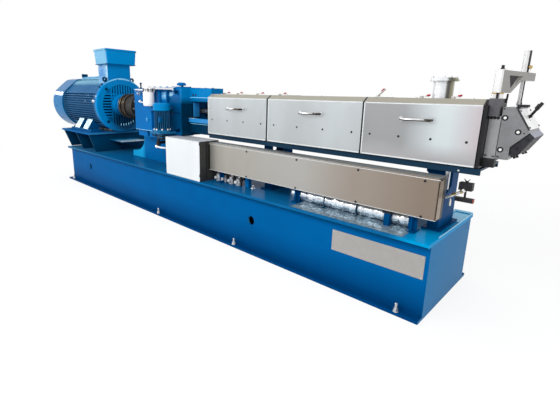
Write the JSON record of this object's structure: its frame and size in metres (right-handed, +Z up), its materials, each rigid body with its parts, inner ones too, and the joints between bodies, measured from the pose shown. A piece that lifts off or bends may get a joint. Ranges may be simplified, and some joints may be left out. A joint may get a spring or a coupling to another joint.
{
  "type": "twin screw plastic extruder",
  "caption": "Long welded base carrying a finned motor, coupling, gearbox, a covered row of barrels with lift-up covers, and a die head with a small swing arm.",
  "frame": {"origin": "centre of the base's underside, on the floor", "axes": "+X along the machine from the motor towards the die, -Y towards the operator's side, +Z up"},
  "size_m": [6.1585, 0.912, 1.815],
  "materials": {
    "base_paint": "gloss",
    "motor_paint": "gloss",
    "gear_paint": "gloss",
    "coupling_rubber": "matt",
    "filter_enamel": "gloss",
    "turned_steel": "satin",
    "barrel_steel": "satin",
    "cover_steel": "brushed",
    "handle_chrome": "polished",
    "duct_steel": "brushed",
    "die_steel": "ground",
    "black_steel": "satin",
    "polished_steel": "ground"
  },
  "bodies": {
    "machine": {"base_deck": "base_paint", "base_webs": "base_paint", "base_cross_plates": "base_paint", "base_flanges": "base_paint", "stand_gussets": "base_paint", "stand_plate": "base_paint", "motor_frame": "motor_paint", "motor_feet": "motor_paint", "motor_hub": "motor_paint", "casing_end_plate": "cover_steel", "motor_fan_cowl": "motor_paint", "motor_end_bell": "motor_paint", "terminal_box": "motor_paint", "gear_pedestal": "base_paint", "gear_housing": "gear_paint", "gear_input_cover": "gear_paint", "gear_breather": "gear_paint", "oil_filter": "filter_enamel", "lube_pump": "gear_paint", "lantern_housing": "gear_paint", "barrel_row": "barrel_steel", "process_rail": "base_paint", "rail_supports": "base_paint", "casing_top": "cover_steel", "casing_rear": "cover_steel", "vent_stack": "turned_steel", "lower_duct": "duct_steel", "duct_feet": "duct_steel", "side_cabinet": "duct_steel", "water_valves": "turned_steel", "changer_plate": "die_steel", "changer_heater": "black_steel", "die_nose": "die_steel", "die_lower_block": "black_steel", "clamp_plate": "polished_steel", "clamp_lever": "black_steel", "arm_base": "black_steel", "drain_valve": "black_steel"},
    "drive_line": {"drive_coupling": "coupling_rubber"},
    "screw_front": {"screw_coupling_front": "turned_steel"},
    "screw_rear": {"screw_coupling_rear": "turned_steel"},
    "arm": {"swing_arm": "polished_steel", "lift_rod": "polished_steel"},
    "cover_1_leaf": {"cover_1": "cover_steel", "cover_handle_1": "handle_chrome"},
    "cover_2_leaf": {"cover_2": "cover_steel", "cover_handle_2": "handle_chrome"},
    "cover_3_leaf": {"cover_3": "cover_steel", "cover_handle_3": "handle_chrome"}
  },
  "joints": [
    {"name": "cover_1_lift", "type": "hinge", "parent": "machine", "child": "cover_1_leaf", "pos_m": [0.809, -0.09, 1.276], "axis": [-1, 0, 0], "range_deg": [0, 90]},
    {"name": "cover_2_lift", "type": "hinge", "parent": "machine", "child": "cover_2_leaf", "pos_m": [1.607, -0.09, 1.276], "axis": [-1, 0, 0], "range_deg": [0, 90]},
    {"name": "cover_3_lift", "type": "hinge", "parent": "machine", "child": "cover_3_leaf", "pos_m": [2.37, -0.09, 1.276], "axis": [-1, 0, 0], "range_deg": [0, 90]},
    {"name": "drive_spin", "type": "hinge", "parent": "machine", "child": "drive_line", "pos_m": [-1.2, 0, 1.102], "axis": [1, 0, 0], "continuous": true},
    {"name": "screw_front_spin", "type": "hinge", "parent": "machine", "child": "screw_front", "pos_m": [0.257, -0.026, 1.102], "axis": [1, 0, 0], "continuous": true},
    {"name": "screw_rear_spin", "type": "hinge", "parent": "machine", "child": "screw_rear", "pos_m": [0.257, 0.026, 1.102], "axis": [1, 0, 0], "continuous": true},
    {"name": "arm_swing", "type": "hinge", "parent": "machine", "child": "arm", "pos_m": [2.75, -0.135, 1.31], "axis": [0, 0, -1], "range_deg": [0, 90]}
  ],
  "couplings": [
    {"joint": "screw_front_spin", "follows": "drive_spin", "ratio": 0.4},
    {"joint": "screw_rear_spin", "follows": "drive_spin", "ratio": 0.4}
  ]
}
